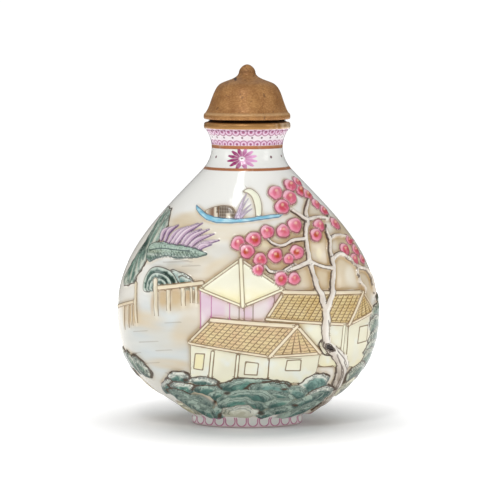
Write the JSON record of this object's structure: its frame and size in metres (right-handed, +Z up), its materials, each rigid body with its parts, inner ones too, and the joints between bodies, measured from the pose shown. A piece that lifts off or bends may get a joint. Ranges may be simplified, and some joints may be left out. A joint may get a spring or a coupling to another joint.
{
  "type": "snuff bottle",
  "caption": "Flattened pear-shaped porcelain snuff bottle with an oval foot, waisted neck, moulded landscape relief and a domed gilt stopper on a cork.",
  "frame": {"origin": "middle of the underside of the foot, on the surface the bottle stands on", "axes": "+Z up through the neck, -Y out of the face that the picture shows, +X to the right of that face"},
  "size_m": [0.051, 0.0327, 0.0708],
  "materials": {
    "enamelled_porcelain": "glossy glaze with painted enamels",
    "worn_gilding": "worn matt gilding",
    "cork_bark": "matt"
  },
  "bodies": {
    "root": {"bottle": "enamelled_porcelain", "stopper": "worn_gilding", "cork": "cork_bark"}
  },
  "joints": []
}
